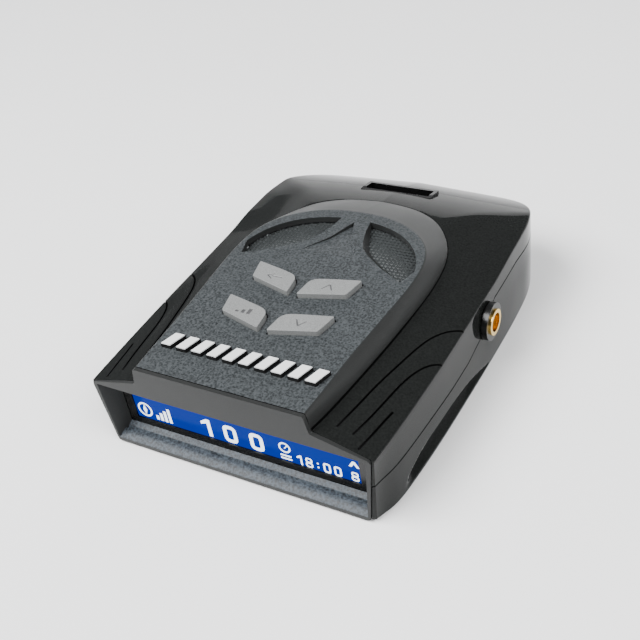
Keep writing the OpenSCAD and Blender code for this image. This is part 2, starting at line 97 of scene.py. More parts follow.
def on_panel(x, v, w):
    """A point w above the panel's top plane, v along it from its front edge."""
    return put(
        x,
        v * math.cos(PANEL_TILT) - w * math.sin(PANEL_TILT),
        PANEL_Z + v * math.sin(PANEL_TILT) + w * math.cos(PANEL_TILT),
    )


def in_case(point):
    """A point of the frame in metres, back in case coordinates in mm."""
    return (point - put(0, 0, 0)) / MM


def smooth(a, b, x):
    """0 before a, 1 after b and an S curve between them."""
    t = min(max((x - a) / (b - a), 0.0), 1.0)
    return t * t * (3 - 2 * t)


def bend(a, b, c, f):
    """Point at f on the curve that leaves a towards b and arrives at c from b."""
    return a * (1 - f) ** 2 + b * 2 * f * (1 - f) + c * f * f


# ---------------------------------------------------------------- camera
CAM_TARGET = Vector((0.15, -9.65, 14.0)) * MM
CAM_DISTANCE = 229.8 * MM
CAM_AZ, CAM_EL, CAM_ROLL = map(math.radians, (35.0, 36.0, -9.8))
CAM_LENS = 53.4

back = Vector((
    math.sin(CAM_AZ) * math.cos(CAM_EL),
    -math.cos(CAM_AZ) * math.cos(CAM_EL),
    math.sin(CAM_EL),
))
level = Vector((math.cos(CAM_AZ), math.sin(CAM_AZ), 0))
up = back.cross(level)
right = math.cos(CAM_ROLL) * level + math.sin(CAM_ROLL) * up
up = back.cross(right)
cam_data = bpy.data.cameras.new("camera")
cam_data.lens = CAM_LENS
cam_data.sensor_width = 36
cam_data.clip_start = 0.01
camera = bpy.data.objects.new("camera", cam_data)
bpy.context.scene.collection.objects.link(camera)
turn = Matrix((right, up, back)).transposed().to_4x4()
camera.matrix_world = Matrix.Translation(CAM_TARGET + back * CAM_DISTANCE) @ turn
bpy.context.scene.camera = camera


# ---------------------------------------------------------------- studio
def link(obj):
    bpy.context.scene.collection.objects.link(obj)
    return obj


def area_light(name, place, aim, size, power):
    data = bpy.data.lights.new(name, "AREA")
    data.shape = "RECTANGLE"
    data.size, data.size_y = size
    data.energy = power
    obj = link(bpy.data.objects.new(name, data))
    obj.location = place
    obj.rotation_euler = (Vector(aim) - Vector(place)).to_track_quat("-Z", "Y").to_euler()


area_light("key_light", (-0.45, -0.55, 0.95), (0, 0, 0), (0.9, 0.7), 34.0)
area_light("fill_light", (0.75, -0.25, 0.8), (0, 0, 0.01), (0.7, 0.7), 15.0)
area_light("wall_light", (-0.2, 0.75, 0.5), (-0.2, 1.3, 0.25), (1.6, 0.2), 6.5)

world = bpy.data.worlds.new("studio")
bpy.context.scene.world = world
world.use_nodes = True
background = world.node_tree.nodes["Background"]
background.inputs["Color"].default_value = (0.93, 0.96, 1.0, 1)
background.inputs["Strength"].default_value = 0.34


# ---------------------------------------------------------------- materials
NOISE_LOW, NOISE_HIGH = 0.3, 0.7      # the range that a noise texture mostly stays in
FLAKE_LOW, FLAKE_HIGH = 0.64, 0.98    # the same for the flake paint's mix of two textures
CELL_SHARE = 0.35                     # share of the cells in that mix


def new_material(name, colour, roughness, metallic=0.0):
    mat = bpy.data.materials.new(name)
    mat.use_nodes = True
    shader = mat.node_tree.nodes["Principled BSDF"]
    shader.inputs["Base Color"].default_value = (*colour, 1)
    shader.inputs["Roughness"].default_value = roughness
    shader.inputs["Metallic"].default_value = metallic
    shader.inputs["IOR"].default_value = 1.5
    return mat, mat.node_tree, shader


def noise(tree, scale, detail=2.0, rough=0.5, kind="ShaderNodeTexNoise"):
    coords = tree.nodes.new("ShaderNodeTexCoord")
    tex = tree.nodes.new(kind)
    tex.inputs["Scale"].default_value = scale
    tex.inputs["Detail"].default_value = detail
    tex.inputs["Roughness"].default_value = rough
    tree.links.new(coords.outputs["Object"], tex.inputs["Vector"])
    return tex


def spread(tree, value, low, high):
    """A noise value as a number from low to high."""
    ramp = tree.nodes.new("ShaderNodeMapRange")
    ramp.inputs["From Min"].default_value = NOISE_LOW
    ramp.inputs["From Max"].default_value = NOISE_HIGH
    ramp.inputs["To Min"].default_value = low
    ramp.inputs["To Max"].default_value = high
    tree.links.new(value, ramp.inputs["Value"])
    return ramp.outputs["Result"]


def colour_mix(tree, value, dark, light, a=NOISE_LOW, b=NOISE_HIGH):
    """A noise value as a colour from dark to light."""
    ramp = tree.nodes.new("ShaderNodeValToRGB")
    ramp.color_ramp.elements[0].position = a
    ramp.color_ramp.elements[0].color = (*dark, 1)
    ramp.color_ramp.elements[1].position = b
    ramp.color_ramp.elements[1].color = (*light, 1)
    tree.links.new(value, ramp.inputs["Fac"])
    return ramp.outputs["Color"]


def bump(tree, shader, height, strength, distance):
    node = tree.nodes.new("ShaderNodeBump")
    node.inputs["Strength"].default_value = strength
    node.inputs["Distance"].default_value = distance
    tree.links.new(height, node.inputs["Height"])
    tree.links.new(node.outputs["Normal"], shader.inputs["Normal"])


def plastic(
    name, colour, roughness, grain=2500.0, depth=0.00002, vary=0.06, metallic=0.0, tone=0.12, shine=0.5
):
    """A moulded surface: fine grain, slightly uneven gloss and tone."""
    mat, tree, shader = new_material(name, colour, roughness, metallic)
    shader.inputs["Specular IOR Level"].default_value = shine
    fine = noise(tree, grain, 3.0)
    broad = noise(tree, 60.0, 2.0)
    gloss = spread(tree, broad.outputs["Fac"], max(roughness - vary, 0.02), roughness + vary)
    tree.links.new(gloss, shader.inputs["Roughness"])
    low = tuple(c * (1 - tone) for c in colour)
    high = tuple(min(c * (1 + tone), 1) for c in colour)
    tree.links.new(colour_mix(tree, fine.outputs["Fac"], low, high), shader.inputs["Base Color"])
    bump(tree, shader, fine.outputs["Fac"], 0.5, depth)
    return mat


def flake_paint(name, dark, light, scale, roughness=0.5):
    """Grey paint with coarse flake on a slightly lumpy coat."""
    mat, tree, shader = new_material(name, dark, roughness)
    shader.inputs["Specular IOR Level"].default_value = 0.3
    flake = noise(tree, scale, 3.0, 0.65)
    cell = noise(tree, scale * 0.8, kind="ShaderNodeTexVoronoi")
    mix = tree.nodes.new("ShaderNodeMath")
    mix.operation = "MULTIPLY_ADD"
    mix.inputs[1].default_value = CELL_SHARE
    tree.links.new(cell.outputs["Distance"], mix.inputs[0])
    tree.links.new(flake.outputs["Fac"], mix.inputs[2])
    colour = colour_mix(tree, mix.outputs["Value"], dark, light, FLAKE_LOW, FLAKE_HIGH)
    tree.links.new(colour, shader.inputs["Base Color"])
    gloss = spread(tree, flake.outputs["Fac"], roughness - 0.14, roughness + 0.1)
    tree.links.new(gloss, shader.inputs["Roughness"])
    bump(tree, shader, mix.outputs["Value"], 0.7, 0.00005)
    return mat


def metal(name, colour, roughness, grain=(40.0, 3000.0, 3000.0), depth=0.000004):
    """Drawn or plated metal with fine lines."""
    mat, tree, shader = new_material(name, colour, roughness, 1.0)
    coords = tree.nodes.new("ShaderNodeTexCoord")
    stretch = tree.nodes.new("ShaderNodeMapping")
    stretch.inputs["Scale"].default_value = grain
    tex = tree.nodes.new("ShaderNodeTexNoise")
    tex.inputs["Scale"].default_value = 1.0
    tree.links.new(coords.outputs["Object"], stretch.inputs["Vector"])
    tree.links.new(stretch.outputs["Vector"], tex.inputs["Vector"])
    gloss = spread(tree, tex.outputs["Fac"], roughness * 0.7, roughness * 1.4)
    tree.links.new(gloss, shader.inputs["Roughness"])
    low = tuple(c * 0.85 for c in colour)
    tree.links.new(colour_mix(tree, tex.outputs["Fac"], low, colour), shader.inputs["Base Color"])
    bump(tree, shader, tex.outputs["Fac"], 0.4, depth)
    return mat


def glowing(name, colour, strength, tone=0.1):
    """Lit display matter: a slightly uneven glow."""
    mat, tree, shader = new_material(name, colour, 0.12)
    shader.inputs["Specular IOR Level"].default_value = 0.03
    shader.inputs["Emission Strength"].default_value = strength
    tex = noise(tree, 90.0)
    low = tuple(c * (1 - tone) for c in colour)
    glow = colour_mix(tree, tex.outputs["Fac"], low, colour)
    tree.links.new(glow, shader.inputs["Emission Color"])
    low, high = (tuple(c * k for c in colour) for k in (0.03, 0.06))
    tree.links.new(colour_mix(tree, tex.outputs["Fac"], low, high), shader.inputs["Base Color"])
    tree.links.new(spread(tree, tex.outputs["Fac"], 0.1, 0.16), shader.inputs["Roughness"])
    return mat


GLOSS = plastic(
    "black_gloss", (0.0085, 0.0092, 0.0088), 0.06, grain=2200.0, depth=0.000002, vary=0.02,
    tone=0.3, shine=0.1,
)
SATIN = plastic(
    "grey_satin", (0.019, 0.0198, 0.0196), 0.36, grain=5000.0, depth=0.000006, vary=0.04,
    shine=0.16,
)
FLECK = flake_paint("grey_fleck", (0.01, 0.0118, 0.0128), (0.05, 0.056, 0.0595), scale=2100.0)
LEDGE = flake_paint("ledge_fleck", (0.0085, 0.011, 0.0135), (0.055, 0.068, 0.082), scale=1900.0)
SILVER = plastic(
    "silver_key", (0.2, 0.205, 0.203), 0.42, grain=4000.0, depth=0.000008, vary=0.04,
    metallic=0.2, tone=0.2,
)
BLACK = plastic("black_matte", (0.0035, 0.0035, 0.0035), 0.26, shine=0.3)
# Near-black matte with little shine: painted shade for the inside of the grooves, the seam strip and the
# gap round the panel
PAINTED_SHADE = plastic("painted_groove_shade", (0.0012, 0.0012, 0.0012), 0.6, shine=0.05)
WHITE = plastic("white_print", (0.7, 0.71, 0.71), 0.3, grain=3000.0, depth=0.000004, tone=0.03)
INK = plastic("key_ink", (0.055, 0.055, 0.057), 0.5)
GRILLE = plastic("grille_grey", (0.075, 0.082, 0.083), 0.3, grain=2500.0, metallic=0.75, tone=0.3)
RUBBER = plastic("rubber", (0.02, 0.02, 0.02), 0.75, grain=3500.0, depth=0.00004)
BOARD = plastic("board_green", (0.02, 0.14, 0.07), 0.3, grain=1200.0, depth=0.00001)
CARD = plastic("cone_paper", (0.03, 0.03, 0.03), 0.8, grain=3000.0, depth=0.00003)
LEAD_RED = plastic("lead_red", (0.4, 0.02, 0.02), 0.4)
LEAD_BLACK = plastic("lead_black", (0.02, 0.02, 0.02), 0.4)
AMBER = plastic("flex_amber", (0.45, 0.22, 0.04), 0.3)
TAN = plastic("ceramic_tan", (0.5, 0.43, 0.3), 0.4)
TEFLON = plastic("insulator", (0.32, 0.2, 0.08), 0.35)
PAPER = plastic("label_silver", (0.5, 0.51, 0.52), 0.35, metallic=0.5)
DIFFUSER = plastic("diffuser", (0.8, 0.83, 0.86), 0.5)
DARK_GLASS = plastic("ir_lens", (0.02, 0.002, 0.003), 0.05, grain=400.0, depth=0.000001, vary=0.01)
ZINC = metal("zinc", (0.62, 0.62, 0.64), 0.3)
TIN = metal("tin_can", (0.66, 0.67, 0.69), 0.25)
ALLOY = metal("cast_alloy", (0.68, 0.69, 0.7), 0.4, grain=(900.0, 900.0, 900.0), depth=0.00001)
GOLD = metal("gold_plate", (0.93, 0.62, 0.17), 0.16, grain=(400.0, 3000.0, 3000.0))
BLUE = glowing("display_blue", (0.0002, 0.03, 0.42), 1.0)
LIT = glowing("display_white", (0.86, 0.95, 1.0), 3.0, 0.04)

LOOKS = {
    "badge_blocks": BLACK, "badge_faces": WHITE, "key_mat": RUBBER, "tact_switches": BLACK,
    "plunger_exit": BLACK, "plunger_set": BLACK, "plunger_up": BLACK, "plunger_down": BLACK,
    "key_board": BOARD, "key_board_screws": ZINC, "speaker_frame": BLACK, "speaker_cone": CARD,
    "speaker_magnet": ZINC, "speaker_leads": LEAD_RED, "lcd_frame": BLACK, "lcd_glass": BLUE,
    "backlight": DIFFUSER, "lcd_flex": AMBER, "aerial_collar": BLACK, "aerial_barrel": GOLD,
    "aerial_insulator": TEFLON, "aerial_contact": GOLD, "coax_lead": LEAD_BLACK, "main_board": BOARD,
    "board_screws": ZINC, "processor": BLACK, "receiver_module": TIN, "patch_aerial": TAN,
    "capacitors": BLACK, "power_jack": BLACK, "power_pin": ZINC, "horn_aerial": ALLOY,
    "rf_board": BOARD, "rf_can": TIN, "bracket_socket": BLACK, "laser_sensor": BLACK,
    "rear_lens": DARK_GLASS, "rubber_feet": RUBBER, "case_screws": ZINC, "rating_plate": PAPER,
}
# Width of the rounding on the CAD pieces that show
ROUNDINGS = {
    "badge_blocks": 0.12, "badge_faces": 0.1, "aerial_collar": 0.6, "aerial_barrel": 0.18,
    "bracket_socket": 0.3, "rubber_feet": 0.25, "case_screws": 0.12, "rear_lens": 0.15,
    "lcd_frame": 0.08,
}


def soften(obj, width, segments=3, angle=35):
    """Rounds the sharp edges of a piece."""
    mod = obj.modifiers.new("soft_edges", "BEVEL")
    mod.width = width * MM
    mod.segments = segments
    mod.limit_method = "ANGLE"
    mod.angle_limit = math.radians(angle)
    mod.harden_normals = True


for name, look in LOOKS.items():
    obj = NODES[name]
    obj.data.materials.clear()
    obj.data.materials.append(look)
for name, width in ROUNDINGS.items():
    soften(NODES[name], width)


# ---------------------------------------------------------------- mesh helpers
def make(name, verts, faces, mats=(), body=None, stands_for=()):
    """A mesh piece; with a body it rides on it, without one it is a cutter or joined later."""
    mesh = bpy.data.meshes.new(name)
    mesh.from_pydata([tuple(v) for v in verts], [], faces)
    mesh.validate()
    obj = link(bpy.data.objects.new(name, mesh))
    for mat in mats:
        mesh.materials.append(mat)
    bm = bmesh.new()
    bm.from_mesh(mesh)
    bmesh.ops.remove_doubles(bm, verts=bm.verts, dist=0.000001)
    bmesh.ops.recalc_face_normals(bm, faces=bm.faces)
    bm.to_mesh(mesh)
    bm.free()
    if body:
        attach(obj, body)
    if stands_for:
        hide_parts(*stands_for)
    return obj


def bake_modifiers(obj):
    graph = bpy.context.evaluated_depsgraph_get()
    mesh = bpy.data.meshes.new_from_object(obj.evaluated_get(graph))
    obj.modifiers.clear()
    obj.data = mesh


def thicken(obj, depth):
    """Gives a sheet its thickness, inwards."""
    mod = obj.modifiers.new("wall", "SOLIDIFY")
    mod.thickness = depth * MM
    mod.offset = -1
    bake_modifiers(obj)


def combine(obj, other, operation):
    """Cuts another mesh away or adds it, and removes it."""
    mod = obj.modifiers.new("combine", "BOOLEAN")
    mod.operation = operation
    mod.solver = "EXACT"
    mod.object = other
    bake_modifiers(obj)
    bpy.data.objects.remove(other)


def cut(obj, *cutters):
    for cutter in cutters:
        combine(obj, cutter, "DIFFERENCE")


def paint(obj, slot_of):
    """Gives each face the material slot that slot_of says."""
    for poly in obj.data.polygons:
        poly.material_index = slot_of(poly)


def shade(obj, angle=32):
    obj.data.shade_smooth()
    obj.data.set_sharp_from_angle(angle=math.radians(angle))


def circle(cx, cy, r, n=48):
    angles = [2 * math.pi * i / n for i in range(n)]
    return [(cx + r * math.cos(a), cy + r * math.sin(a)) for a in angles]


def rect(x0, y0, x1, y1):
    return [(x0, y0), (x1, y0), (x1, y1), (x0, y1)]


def rounded(points, radii, steps=6):
    """A closed outline with its corners rounded; radii is one number or one per corner."""
    if not isinstance(radii, (list, tuple)):
        radii = [radii] * len(points)
    out = []
    n = len(points)
    for i, r in enumerate(radii):
        p = Vector(points[i])
        a = Vector(points[i - 1]) - p
        b = Vector(points[(i + 1) % n]) - p
        reach = min(r, 0.48 * a.length, 0.48 * b.length)
        start, end = p + a.normalized() * reach, p + b.normalized() * reach
        out += [bend(start, p, end, k / steps) for k in range(steps + 1)]
    return out


def closed(rings):
    """Vertices and faces of a closed body through rings of equal length."""
    n, last = len(rings[0]), len(rings) - 1
    verts = [p for points in rings for p in points]
    faces = [list(range(n))[::-1], list(range(last * n, last * n + n))]
    for r in range(last):
        for i in range(n):
            j = (i + 1) % n
            faces.append([r * n + i, r * n + j, (r + 1) * n + j, (r + 1) * n + i])
    return verts, faces


def prism(name, outline, w0, w1, place, mats=(), body=None, stands_for=()):
    """An outline carried from w0 to w1; place(x, v, w) gives the point."""
    verts, faces = closed([[place(p[0], p[1], w) for p in outline] for w in (w0, w1)])
    return make(name, verts, faces, mats, body, stands_for)


def join(first, *others):
    """Adds the other meshes to the first."""
    bm = bmesh.new()
    bm.from_mesh(first.data)
    for obj in others:
        bm.from_mesh(obj.data)
        bpy.data.objects.remove(obj)
    bm.to_mesh(first.data)
    bm.free()
    return first


def spline(points, t):
    """Catmull-Rom through the points, t from 0 to 1; past the last one it goes on as a mirror image."""
    s = t * (len(points) - 1)
    i = min(int(s), len(points) - 2)
    f = s - i
    p1, p2 = Vector(points[i]), Vector(points[i + 1])
    p0 = Vector(points[i - 1]) if i > 0 else p1 * 2 - p2
    mirrored = (-points[-2][0], *points[-2][1:])
    p3 = Vector(points[i + 2] if i + 2 < len(points) else mirrored)
    square = 2 * p0 - 5 * p1 + 4 * p2 - p3
    cube = 3 * p1 - p0 - 3 * p2 + p3
    return 0.5 * (2 * p1 + (p2 - p0) * f + square * f ** 2 + cube * f ** 3)


# ---------------------------------------------------------------- the case's outlines, right half
# Each runs from the display edge along the side and round to the middle of the rear.
START = RIM + 0.15    # where the panel and the shells begin behind the display edge
FOOT_LINE = [
    (34.6, 0.9), (36.7, 7), (37.5, 16), (37.95, 28), (38.1, 43), (38.05, 60), (37.7, 75),
    (36.7, 86.5), (34.1, 95.2), (29.7, 100.9), (23.5, 103.2), (14, 103.5), (0, 103.5),
]
CREASE = [
    (36.05, 0.6), (36.5, 8), (37.0, 19), (37.4, 32), (37.55, 46), (37.7, 60), (37.7, 74),
    (37.1, 86), (34.5, 94.4), (29.6, 100.2), (23, 102.4), (14, 102.7), (0, 102.7),
]
GAP_LINE = [
    (22.3, START), (23.3, 7.5), (24.5, 18), (25.7, 31), (26.45, 44), (26.5, 53), (25.7, 61),
    (23.6, 67.3), (20.2, 72.2), (15.8, 76), (10.8, 78.4), (5.5, 79.4), (0, 79.6),
]
TOP_LINE = [
    (21.5, START), (21.9, 7.5), (22.4, 18), (23.4, 31), (24.3, 42), (24.3, 49.5), (23.4, 55),
    (21.3, 59.4), (18, 63), (13.8, 65.8), (9.3, 67.6), (4.7, 68.5), (0, 68.7),
]
BEADS = 150           # steps along each outline


def spaced(points, n, fine=600):
    """Parameters that step evenly along a spline."""
    track = [spline(points, i / fine) for i in range(fine + 1)]
    run = [0.0]
    for a, b in zip(track, track[1:]):
        run.append(run[-1] + (b - a).length)
    out, k = [], 0
    for i in range(n + 1):
        want = run[-1] * i / n
        while k < fine - 1 and run[k + 1] < want:
            k += 1
        out.append((k + (want - run[k]) / (run[k + 1] - run[k])) / fine)
    return out


PARAMS = spaced(CREASE, BEADS)


def both_sides(rows):
    """Rows of right-half points, each mirrored to a whole row from right front to left front."""
    return [row + [(-p[0], *p[1:]) for p in row[-2::-1]] for row in rows]


def loft(rows):
    """Vertices and faces of a sheet through rows of equal length."""
    n = len(rows[0])
    verts = [p for row in rows for p in row]
    corners = [r * n + i for r in range(len(rows) - 1) for i in range(n - 1)]
    return verts, [[c, c + 1, c + n + 1, c + n] for c in corners]


# ---------------------------------------------------------------- height of the case's top
def curve(points, steps=24):
    """An open spline that runs straight out of its last point."""
    ahead = Vector(points[-1]) * 2 - Vector(points[-2])
    share = (len(points) - 1) / len(points)
    return [spline([*points, tuple(ahead)], share * i / steps) for i in range(steps + 1)]


# Lines between the overlapping leaves on each shoulder, from the display end to the crease
LEAF_LINES = [
    [
        (26.0, 4.6), (27.0, 11.0), (28.1, 18.6), (29.3, 24.8), (30.8, 31.8), (32.3, 36.6),
        (34.4, 40.0), (37.0, 42.0), (39.5, 43.0),
    ],
    [
        (29.6, 4.4), (30.6, 9.6), (31.4, 15.0), (32.3, 21.3), (33.6, 26.0), (35.2, 28.9),
        (37.4, 30.6), (39.5, 31.3),
    ],
    [(32.2, 1.6), (32.9, 6.0), (33.5, 10.4), (34.0, 13.6)],
]
LEAF_CURVES = [curve(line) for line in LEAF_LINES]
LEAF_STEP = (0.16, 0.14)           # drop behind the two longer lines
LEAF_REACH = 60                    # no leaf goes further back than this
STEP_HALF, STEP_FADE = 0.7, 2.8    # half the width of a step, and how far it takes to fade
STEP_OUT = (32.5, 36)              # the steps die out towards the crease between these


def behind(line, x, y):
    """Distance from a leaf line in mm, positive on its rear and inner side."""
    best, sign = 1e9, 1.0
    p = Vector((x, y))
    for a, b in zip(line, line[1:]):
        ab = b - a
        t = min(max((p - a).dot(ab) / ab.length_squared, 0.0), 1.0)
        d = (p - a - ab * t).length
        if d < best:
            best, sign = d, 1.0 if ab.cross(p - a) > 0 else -1.0
    return best * sign


def shoulder_step(x, y):
    """The two larger leaves drop a little behind their line and ease back to the surface."""
    if y >= LEAF_REACH:
        return 0.0
    share = smooth(0, 6, y) * (1 - smooth(*STEP_OUT, x))
    drop = 0.0
    for line, depth in zip(LEAF_CURVES, LEAF_STEP):
        d = behind(line, x, y)
        if d > -1:
            drop -= depth * smooth(-STEP_HALF, STEP_HALF, d) * math.exp(-max(d, 0) / STEP_FADE) * share
    return drop


# Each shoulder is a plane that falls sideways and rises to the rear, with a hip behind the middle
RIDGE_Z, SHOULDER_FALL, SHOULDER_RISE, HIP = 25.6, 0.22, 0.047, 0.7
# The rear slope: height, slope and bend from REAR_Y on, and its fall sideways
REAR_Y, REAR_Z, REAR_SLOPE, REAR_BEND, REAR_FALL = 79.5, 25.35, 0.1, 0.0085, 0.045
REAR_LEAD, REAR_FLAT = -6, 25.64    # ahead of this it stays level, at this height
MEET = 0.5                          # width of the soft line where shoulder and rear meet


def top_z(x, y, steps=True):
    """Height of the case's top; steps=False leaves out the steps between the leaves."""
    x = abs(x)
    hip = HIP * smooth(60, 72, y) * (1 - smooth(79, 90, y)) * smooth(24, 38, x)
    side = RIDGE_Z - SHOULDER_FALL * x + SHOULDER_RISE * y + hip
    t = y - REAR_Y
    rear = REAR_Z - REAR_SLOPE * t - REAR_BEND * t * t if t > REAR_LEAD else REAR_FLAT
    rear -= REAR_FALL * x
    h = min(max(0.5 + 0.5 * (rear - side) / MEET, 0.0), 1.0)
    z = rear * (1 - h) + side * h - MEET * h * (1 - h)
    return z + (shoulder_step(x, y) if steps else 0.0)


# The seam's height along the side, as (y, z)
SEAM_LINE = [
    (0, 10.5), (8, 10.2), (24, 10.0), (36, 9.7), (44, 9.9), (50, 11.1), (60.4, 16.4), (74, 17.0),
    (90, 15.6), (104, 13.6),
]


def seam_z(y):
    for (a, za), (b, zb) in zip(SEAM_LINE, SEAM_LINE[1:]):
        if y <= b:
            t = (smooth(a, b, y) + (y - a) / (b - a)) / 2
            return za + (zb - za) * t
    return SEAM_LINE[-1][1]


def wall_at(t, z):
    """Point of the side wall at spline parameter t and height z; the wall leans from foot to crease."""
    foot, crease = spline(FOOT_LINE, t), spline(CREASE, t)
    high = top_z(crease.x, crease.y, False)
    f = min(max(z / high, 0.0), 1.0)
    p = foot * (1 - f) + crease * f
    bulge = math.sin(math.pi * f) * 0.25 * smooth(0, 12, p.y) * (1 - 0.7 * smooth(80, 92, p.y))
    return (p.x + bulge, p.y, z)


def edge_x(z):
    """Half width of the display end's frame at height z."""
    return FRAME_HALF + (FRAME_WIDE - FRAME_HALF) * min(z / FRAME_HIGH, 1)


def corner_strip(side_rows, fan_row_points, fan_first):
    """The narrow face between the frame's flange and the side wall, closed at one end with a fan."""
    verts, faces = [], []
    for row in side_rows:
        x, y, z = row[0]
        verts += [(edge_x(z) + 0.2, LAP, z), (x, y, z)]
    for k in range(len(side_rows) - 1):
        faces.append([2 * k, 2 * k + 1, 2 * k + 3, 2 * k + 2])
    hub = 0 if fan_first else 2 * (len(side_rows) - 1)
    ring = [hub + 1]
    for point in fan_row_points:
        ring.append(len(verts))
        verts.append(point)
    faces += [[hub, a, b] for a, b in zip(ring, ring[1:])]
    return verts, faces


def add_sheet(base, extra):
    """Joins a sheet and its mirror image to another sheet."""
    verts, faces = list(base[0]), list(base[1])
    for sign in (1, -1):
        n = len(verts)
        verts += [(sign * v[0], v[1], v[2]) for v in extra[0]]
        faces += [[n + i for i in face][::sign] for face in extra[1]]
    return verts, faces


# ---------------------------------------------------------------- upper shell
WALL_STEPS, CREASE_STEPS, TOP_STEPS = 8, 6, 60           # rows of each stretch
POCKET_EDGE = ((0.12, 0.06), (0.18, 0.2), (0.2, 1.4))    # inwards and down from the gap line


def upper_rows():
    """Rows from the seam up the wall, over the crease, in to the panel's pocket and down its edge."""
    lines = [(t, spline(CREASE, t), spline(GAP_LINE, t)) for t in PARAMS]
    rows = []
    for k in range(WALL_STEPS + 1):
        row = []
        for t, crease, _ in lines:
            low = seam_z(crease.y) + SEAM / 2
            high = top_z(crease.x, crease.y, False) - FILLET
            row.append(wall_at(t, low + (high - low) * k / WALL_STEPS))
        rows.append(row)
    for k in range(1, CREASE_STEPS + 1):
        row = []
        for t, crease, gap in lines:
            z = top_z(crease.x, crease.y, False)
            inner = crease + (gap - crease).normalized() * FILLET
            a = Vector(wall_at(t, z - FILLET))
            b = Vector((crease.x, crease.y, z))
            c = Vector((inner.x, inner.y, top_z(inner.x, inner.y)))
            row.append(tuple(bend(a, b, c, k / CREASE_STEPS)))
        rows.append(row)
    for k in range(1, TOP_STEPS + 1):
        row = []
        for _, crease, gap in lines:
            start = crease + (gap - crease).normalized() * FILLET
            p = start.lerp(gap, k / TOP_STEPS)
            row.append((p.x, p.y, top_z(p.x, p.y)))
        rows.append(row)
    for inwards, down in POCKET_EDGE:
        row = []
        for _, crease, gap in lines:
            p = gap + (gap - crease).normalized() * inwards
            row.append((p.x, p.y, top_z(gap.x, gap.y) - down))
        rows.append(row)
    return rows


def box_cutter(name, low, high, corner=0.0):
    outline = rect(low[0], low[1], high[0], high[1])
    return prism(name, rounded(outline, corner, 4) if corner else outline, low[2], high[2], put)


def side_drill(name, x0, x1, y, z, r):
    return prism(name, circle(0, 0, r), x0, x1, lambda a, b, w: put(w, y + a, z + b))


def side_openings(lens_half=9.1):
    """Cutters for the two sockets' holes and the rear window."""
    return (
        side_drill("jack_cut", 30, 50, JACK_Y, JACK_Z, JACK_HOLE_R),
        side_drill("power_cut", -50, -30, POWER_Y, POWER_Z, POWER_HOLE_R),
        box_cutter("lens_cut", (-lens_half, 98, 4.6), (lens_half, 110, 12.4)),
    )


def slot_cutter(play=0.08):
    half_x = SLOT_W / 2 + SLOT_RIM + play
    half_y = SLOT_L / 2 + SLOT_RIM + play
    return box_cutter("slot_cut", (-half_x, SLOT_Y - half_y, 10), (half_x, SLOT_Y + half_y, 40), 0.4)


rows = upper_rows()
wall_rows, crease_rows = rows[:WALL_STEPS + 1], rows[WALL_STEPS + 1:WALL_STEPS + 1 + CREASE_STEPS]
strip = corner_strip(wall_rows, [row[0] for row in crease_rows], False)
verts, faces = add_sheet(loft(both_sides(rows)), strip)
# Its second slot is painted shade, which the groove cutters leave inside the grooves
upper = make("upper_shell_skin", [put(*v) for v in verts], faces, [GLOSS, PAINTED_SHADE], "case", ["upper_shell"])
thicken(upper, SKIN)
cut(upper, slot_cutter(), *side_openings())

GROOVE_W = 0.5
GROOVE_SHALLOW, GROOVE_DEEP = 0.12, 0.55    # depth at the display end and from GROOVE_RUN on
GROOVE_RUN = 9.0
GROOVE_EDGE = 37.6                          # past the crease a groove keeps the height it has here


def groove(line, sign):
    """A cutter along a leaf line, with painted shade inside, that grows deeper from the display end."""
    rings = []
    for i, p in enumerate(line):
        run = (line[min(i + 1, len(line) - 1)] - line[max(i - 1, 0)]).normalized()
        side = Vector((run.y, -run.x)) * GROOVE_W / 2
        z = top_z(min(p.x, GROOVE_EDGE), p.y)
        deeper = smooth(0, GROOVE_RUN, p.y - line[0].y)
        bottom = z - GROOVE_SHALLOW - (GROOVE_DEEP - GROOVE_SHALLOW) * deeper
        half = ((1, z + 2), (1, z - 0.05), (0.5, bottom))
        section = (*half, *((-w, level) for w, level in half[::-1]))
        rings.append([put(sign * (p.x + side.x * w), p.y + side.y * w, level) for w, level in section])
    cutter = make("groove_cut", *closed(rings), [GLOSS, PAINTED_SHADE])
    paint(cutter, lambda poly: 1)
    return cutter


for sign in (1, -1):
    for line in LEAF_CURVES:
        cut(upper, groove(line, sign))
shade(upper)


# ---------------------------------------------------------------- lower shell
# The upper edge of the long finger hollow low on each side, as (y, z)
SCOOP_TOP = [
    (10.0, 2.0), (12.5, 4.3), (16.0, 5.4), (20.0, 5.9), (26.7, 6.0), (33.0, 5.8), (38.9, 5.2),
    (43.5, 4.3), (47.1, 3.3), (51.0, 2.0), (54.0, 0.9),
]
SCOOP_RIM = 1.0                          # height of the hollow's lower edge
SCOOP_DEEPEST, SCOOP_SHARE = 1.9, 0.42   # its depth is this share of its height, up to the deepest


def scoop(y, z):
    """Depth of the finger hollow at y and z."""
    if not SCOOP_TOP[0][0] < y < SCOOP_TOP[-1][0]:
        return 0.0
    for (a, za), (b, zb) in zip(SCOOP_TOP, SCOOP_TOP[1:]):
        if y <= b:
            top = za + (zb - za) * (y - a) / (b - a)
            break
    s = (top - z) / max(top - SCOOP_RIM, 0.1)
    if not 0 < s < 1:
        return 0.0
    deep = min(SCOOP_DEEPEST, SCOOP_SHARE * top) * smooth(10, 15, y)
    return deep * math.sin(math.pi * s ** 0.75)


EDGE_STEPS, SIDE_STEPS = 5, 40
WIDEST_Y, CASE_HALF = 60, 38     # where the case is widest, and about half its width there


def hollowed(p):
    """A point of the side, moved in where the finger hollow is."""
    p.x -= scoop(p.y, p.z) * min(p.x / 30, 1)
    return tuple(p)


